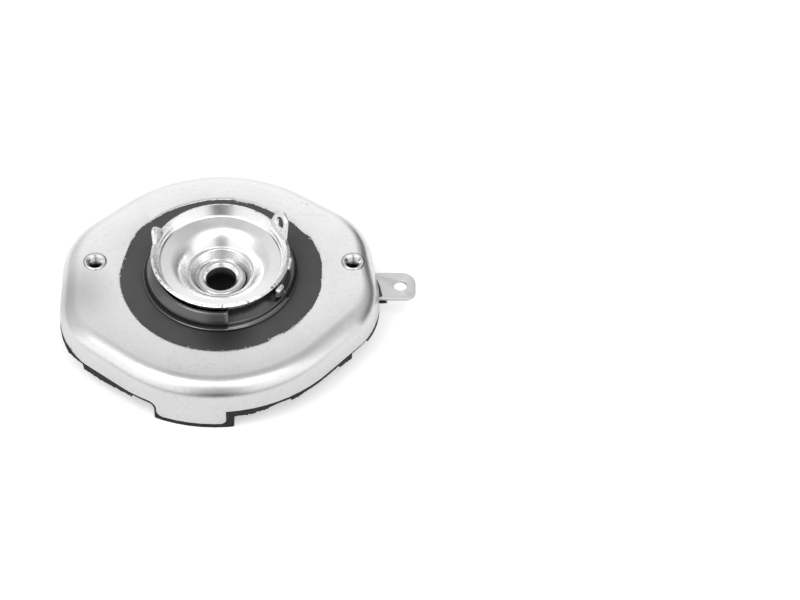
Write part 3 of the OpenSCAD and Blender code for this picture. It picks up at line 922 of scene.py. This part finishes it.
def add_chips():
    """Bright flecks of steel along the edge of the window's rubber."""
    rng = random.Random(3)
    shape = bmesh.new()
    for _ in range(CHIPS):
        bearing = rng.uniform(0, 2 * math.pi)
        r = rng.uniform(*CHIP_R)
        height = collar_height(r) + 0.1
        r += wander(math.degrees(bearing))
        middle = Vector((r * math.cos(bearing), r * math.sin(bearing), height))
        corners = []
        for k in range(3):
            turn = bearing + rng.uniform(0.7, 1.3) + k * 2.1
            away = rng.uniform(0.15, 0.6)
            rise = rng.uniform(-0.05, 0.12)
            corners.append(middle + Vector((away * math.cos(turn), away * math.sin(turn), rise)))
        shape.faces.new([shape.verts.new(corner * MM) for corner in corners])
    piece("window_chips", shape, "zinc_steel", BRIGHT)


def add_scratches():
    """Short dull scratches on the dish's flat top."""
    shape = bmesh.new()
    for start, end, width in SCRATCHES:
        one, two = (Vector((*place, TOP_Z + 0.02)) for place in (start, end))
        side = (two - one).cross(Vector((0, 0, 1))).normalized() * width / 2
        middle = (one + two) / 2
        corners = (one, middle + side, two, middle - side)
        shape.faces.new([shape.verts.new(corner * MM) for corner in corners])
    bmesh.ops.recalc_face_normals(shape, faces=shape.faces)
    piece("scratches", shape, "zinc_steel", LUG)


def add_lug_rubber():
    """Rubber that shows at the lug's root: a wedge on the strip and a scrap under its front edge."""
    shape = bmesh.new()
    wedge = (LUG_WEDGE, LUG_TOP_Z + 0.08, LUG_WEDGE_T)
    scrap = (LUG_SCRAP, LUG_TOP_Z - LUG_T - 0.05, LUG_SCRAP_T)
    for index, (outline, top, thick) in enumerate((wedge, scrap)):
        face = shape.faces.new([shape.verts.new(Vector((x, y, top)) * MM) for x, y in outline])
        face.material_index = index
        bmesh.ops.translate(shape, verts=grown(shape, [face]), vec=(0, 0, -thick * MM))
    bmesh.ops.recalc_face_normals(shape, faces=shape.faces)
    # The scrap under the lug takes the darker rubber as painted shade
    smoothed(piece("lug_rubber", shape, "rubber", RUBBER, SHADED_RUBBER), 30)


def in_nut_bore(face):
    """Whether a face of a nut lies in its threaded bore."""
    place = face.calc_center_median() / MM
    away = min(math.hypot(place.x - x, place.y - NUT_Y) for x in NUT_X)
    return away < NUT_BORE_R + 0.1 and place.z < NUT_TOP_Z - 1.0


def below_skirt(face):
    """Whether a face of the rubber belongs to its lip or foot."""
    return face.calc_center_median().z < (SKIRT_Z + 0.3) * MM


def make_pieces():
    """All that shows of the part."""
    node_copy("dish", "housing", "zinc_steel", ZINC)
    # Faces of the lip and foot take the darker rubber as painted shade
    node_copy("rubber", "rubber_body", "rubber", RUBBER, SHADED_RUBBER, second=below_skirt)
    node_copy("bonded_dish", "inner_dish", "plain_steel", DARK)
    add_cup()
    add_ring()
    for side in ("left", "right"):
        # Faces deep in each nut's bore take near-black painted shade
        node_copy(f"{side}_nut", f"{side}_weld_nut", "nut_steel", NUT, SHADE_BLACK, second=in_nut_bore)
    node_copy("lug", "side_lug", "lug_steel", LUG, round_mm=0.3)
    add_sleeve()
    add_threads()
    add_lip_flash()
    add_window_flash()
    add_chips()
    add_scratches()
    add_lug_rubber()


def floor_white():
    """Pale floor, which stays white to the camera and greys towards the front where metal mirrors it."""
    finish = Finish("floor_white")
    finish.set(Roughness=0.9, Specular_IOR_Level=0.1, Emission_Color=grey(1))
    path = finish.add("ShaderNodeLightPath")
    far = finish.between(finish.math("MULTIPLY", finish.axis("Y"), -1.0), *FLOOR_FADE)
    mirrored = path.outputs["Is Glossy Ray"]
    greyed = finish.math("MULTIPLY", far, mirrored)
    finish.colour(finish.mixed(grey(FLOOR_GREY), grey(FLOOR_FRONT_GREY), greyed, "MIX"))
    near = finish.math("MULTIPLY", finish.math("SUBTRACT", 1.0, far), FLOOR_MIRROR_LIFT)
    lift = finish.math("MULTIPLY", path.outputs["Is Camera Ray"], FLOOR_LIFT)
    lift = finish.math("ADD", lift, finish.math("MULTIPLY", mirrored, near))
    finish.link(lift, finish.shader.inputs["Emission Strength"])
    return finish.material


def add_floor():
    """Floor under the part, which keeps its soft shadow."""
    shape = bmesh.new()
    bmesh.ops.create_grid(shape, x_segments=1, y_segments=1, size=FLOOR_HALF)
    bmesh.ops.translate(shape, verts=shape.verts, vec=(0, 0, cad_low.z - FLOOR_GAP))
    floor = new_object("floor", shape, floor_white())


def add_world():
    """White to the camera, soft light on the part, and a studio for the metal to mirror."""
    world = bpy.data.worlds.new("studio")
    scene.world = world
    world.use_nodes = True
    sky = Wiring(world.node_tree)
    background = sky.tree.nodes["Background"]
    way = sky.add("ShaderNodeTexCoord").outputs["Generated"]
    split = sky.add("ShaderNodeSeparateXYZ")
    sky.link(way, split.inputs["Vector"])
    x, y, z = split.outputs
    # From the back horizon, over the top, to the front horizon
    over = sky.math("DIVIDE", sky.math("ARCTAN2", z, y), math.pi)
    middle = sky.ramp(over, [(0.0, 1.0), (0.12, 1.1), (0.3, 1.05), (0.45, 1.0), (0.52, 1.1), (0.58, 1.25),
                             (0.75, 1.35), (0.92, 1.15), (0.97, 1.0), (0.992, 0.4), (1.0, 0.2)])
    right = sky.ramp(z, [(0.0, 0.14), (0.1, 0.06), (0.26, 0.12), (0.42, 0.36), (0.6, 0.55), (0.75, 0.68),
                         (1.0, 0.75)])
    left = sky.ramp(z, [(0.0, 0.75), (0.2, 0.7), (0.45, 0.8), (0.7, 0.76), (0.9, 0.85)])
    leftward = sky.math("MULTIPLY", x, -1.0)
    on_right = sky.math("MULTIPLY", sky.between(x, 0.15, 0.5), sky.between(y, -0.25, 0.1))
    on_left = sky.math("MULTIPLY", sky.between(leftward, 0.18, 0.55), sky.between(y, -0.2, 0.35))
    mirrored = sky.mixed(middle, right, on_right, "MIX")
    mirrored = sky.mixed(mirrored, left, on_left, "MIX")
    # A grey ceiling over the part, paler on the left
    ceiling = sky.math("MULTIPLY", sky.between(z, 0.79, 0.87), sky.between(y, -0.08, 0.12))
    paler = sky.ramp(sky.between(leftward, 0.12, 0.45), [(0.0, 0.55), (1.0, 0.92)])
    mirrored = sky.mixed(mirrored, paler, ceiling, "MIX")
    # A dark upright shape in front, narrower towards its top, which the bright metal mirrors
    half_width = sky.math("MINIMUM", 0.3, sky.math("MULTIPLY_ADD", z, -0.75, 0.76))
    outside = sky.math("SUBTRACT", sky.math("ABSOLUTE", x), half_width)
    narrow = sky.math("SUBTRACT", 1.0, sky.between(outside, -0.16, 0.08))
    ahead = sky.between(sky.math("MULTIPLY", y, -1.0), 0.2, 0.4)
    tone = sky.ramp(z, [(0.0, 0.04), (0.2, 0.06), (0.36, 0.45), (0.6, 0.52), (0.85, 0.62), (0.97, 0.85)])
    mirrored = sky.mixed(mirrored, tone, sky.math("MULTIPLY", narrow, ahead), "MIX")
    path = sky.add("ShaderNodeLightPath")
    light = sky.mixed(grey(SKY_GREY), mirrored, path.outputs["Is Glossy Ray"], "MIX")
    white = sky.mixed(light, grey(1), path.outputs["Is Camera Ray"], "MIX")
    sky.link(white, background.inputs["Color"])


def add_softbox(name, place, size, watts):
    """A square soft light that faces the part."""
    data = bpy.data.lights.new(name, "AREA")
    data.size = size
    data.energy = watts
    lamp = bpy.data.objects.new(name, data)
    lamp.location = place
    lamp.rotation_euler = (-Vector(place)).to_track_quat("-Z", "Y").to_euler()
    scene.collection.objects.link(lamp)


scene.view_settings.view_transform = "Standard"
add_camera()
make_pieces()
add_floor()
add_world()
for softbox in SOFTBOXES:
    add_softbox(*softbox)
